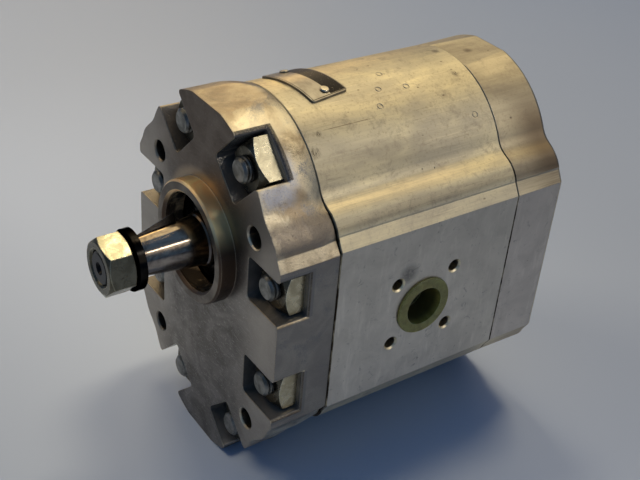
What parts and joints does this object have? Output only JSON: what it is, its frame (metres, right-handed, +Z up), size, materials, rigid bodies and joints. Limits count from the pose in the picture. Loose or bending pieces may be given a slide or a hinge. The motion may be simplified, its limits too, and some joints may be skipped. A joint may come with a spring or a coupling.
{
  "type": "hydraulic gear pump",
  "caption": "External gear pump: aluminium body between two bolted covers, round pilot spigot, tapered keyed drive shaft with nut, side ports closed by plastic plugs.",
  "frame": {"origin": "centre of the pilot spigot in the plane of the flange face, on the drive shaft axis", "axes": "+Y along the drive shaft from the flange face to the rear cover, +X out of the inlet port, +Z up, from the driven gear to the drive shaft"},
  "size_m": [0.1094, 0.1818, 0.1569],
  "materials": {
    "cast_aluminium": "cast, machined face, worn",
    "cover_aluminium": "cast, linished",
    "body_aluminium": "extruded, linished lobes, milled sides",
    "block_aluminium": "machined",
    "bush_bronze": "machined",
    "seal_rubber": "oily",
    "seal_case_steel": "oily",
    "spring_steel": "plain",
    "circlip_steel": "blackened, oily",
    "zinc_steel": "zinc plated",
    "nut_steel": "zinc plated",
    "dowel_steel": "ground",
    "plate_aluminium": "satin with a black band",
    "rivet_aluminium": "plain",
    "shaft_steel": "ground, oily",
    "key_steel": "drawn",
    "nut_dark_steel": "worn zinc",
    "black_spring_steel": "blackened, oily",
    "plug_plastic": "moulded"
  },
  "bodies": {
    "housing": {"front_cover": "cast_aluminium", "pump_body": "body_aluminium", "rear_cover": "cover_aluminium", "front_bearing_block": "block_aluminium", "rear_bearing_block": "block_aluminium", "front_drive_bush": "bush_bronze", "front_driven_bush": "bush_bronze", "rear_drive_bush": "bush_bronze", "rear_driven_bush": "bush_bronze", "front_pressure_seal": "seal_rubber", "rear_pressure_seal": "seal_rubber", "front_body_seal": "seal_rubber", "rear_body_seal": "seal_rubber", "shaft_seal_case": "seal_case_steel", "shaft_seal_lip": "seal_rubber", "seal_garter_spring": "spring_steel", "seal_circlip": "circlip_steel", "cover_bolts": "zinc_steel", "square_nuts": "nut_steel", "front_dowels": "dowel_steel", "rear_dowels": "dowel_steel", "nameplate": "plate_aluminium", "nameplate_rivets": "rivet_aluminium"},
    "drive_shaft": {"drive_gear_shaft": "shaft_steel", "woodruff_key": "key_steel", "shaft_nut": "nut_dark_steel", "spring_lock_washer": "black_spring_steel"},
    "driven_shaft": {"driven_gear_shaft": "shaft_steel"},
    "inlet_plug": {"inlet_port_plug": "plug_plastic"},
    "outlet_plug": {"outlet_port_plug": "plug_plastic"}
  },
  "joints": [
    {"name": "drive_spin", "type": "hinge", "parent": "housing", "child": "drive_shaft", "pos_m": [0, 0, 0], "axis": [0, 1, 0], "continuous": true},
    {"name": "driven_spin", "type": "hinge", "parent": "housing", "child": "driven_shaft", "pos_m": [0, 0, -0.044], "axis": [0, 1, 0], "continuous": true},
    {"name": "inlet_plug_pull", "type": "slide", "parent": "housing", "child": "inlet_plug", "axis": [1, 0, 0], "range_m": [0, 0.03]},
    {"name": "outlet_plug_pull", "type": "slide", "parent": "housing", "child": "outlet_plug", "axis": [-1, 0, 0], "range_m": [0, 0.03]}
  ],
  "couplings": [
    {"joint": "driven_spin", "follows": "drive_spin", "ratio": -1}
  ]
}
